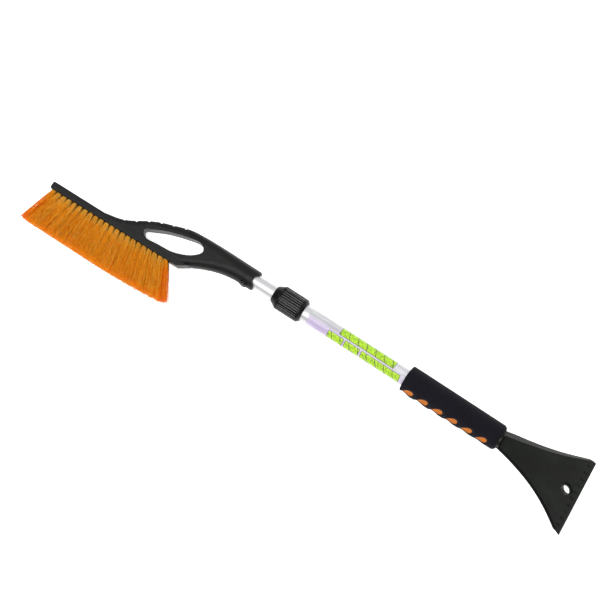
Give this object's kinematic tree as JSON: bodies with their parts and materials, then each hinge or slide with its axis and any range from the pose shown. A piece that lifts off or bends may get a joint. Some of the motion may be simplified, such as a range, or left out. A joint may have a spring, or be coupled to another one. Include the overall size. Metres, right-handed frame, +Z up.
{
  "type": "windshield ice scraper",
  "caption": "Telescopic windshield ice scraper: flared curved blade, foam grip, twist-lock tube and a brush head with hand loop, rubber inlay and fanned bristles.",
  "frame": {"origin": "on the handle's axis, halfway along the outer tube's wrapped stretch", "axes": "+X along the handle towards the scraper blade, -Y the way the bristles point, +Z up as the tool lies on its side"},
  "size_m": [0.8057, 0.1296, 0.0864],
  "materials": {
    "aluminium": "satin drawn tube",
    "printed_film": "glossy pearl film with lime print",
    "foam_orange": "matte closed-cell foam",
    "foam_black": "matte closed-cell foam",
    "blade_plastic": "satin moulded",
    "head_plastic": "satin moulded",
    "collar_plastic": "semi-gloss moulded",
    "collet_plastic": "natural acetal",
    "soft_rubber": "matte soft-touch",
    "bristle": "crimped filament",
    "steel": "plated"
  },
  "bodies": {
    "outer_shaft": {"outer_tube": "aluminium", "tube_wrap": "printed_film", "grip_core": "foam_orange", "grip_cover": "foam_black", "scraper_blade": "blade_plastic", "blade_pin": "steel", "collet": "collet_plastic"},
    "lock_collar": {"lock_collar": "collar_plastic"},
    "guide": {"guide_ring": "collet_plastic"},
    "inner_shaft": {"inner_tube": "aluminium", "end_plug": "head_plastic", "plug_pin": "steel", "brush_head": "head_plastic", "rubber_inlay": "soft_rubber", "bristle_row_1": "bristle", "bristle_row_2": "bristle", "bristle_row_3": "bristle", "bristle_row_4": "bristle", "tuft_staples": "steel", "button_spring": "steel"},
    "snap_button": {"snap_button": "head_plastic"}
  },
  "joints": [
    {"name": "lock_turn", "type": "hinge", "parent": "outer_shaft", "child": "lock_collar", "pos_m": [0, 0, 0], "axis": [1, 0, 0], "range_deg": [0, 120]},
    {"name": "telescope_slide", "type": "slide", "parent": "outer_shaft", "child": "guide", "axis": [-1, 0, 0], "range_m": [0, 0.22]},
    {"name": "shaft_swivel", "type": "hinge", "parent": "guide", "child": "inner_shaft", "pos_m": [0, 0, 0], "axis": [-1, 0, 0], "continuous": true},
    {"name": "button_press", "type": "slide", "parent": "inner_shaft", "child": "snap_button", "axis": [0, 0.8829, -0.4695], "range_m": [0, 0.0045], "stiffness_N_per_m": 1500, "springref_m": -0.002, "deforming": ["button_spring"]}
  ]
}
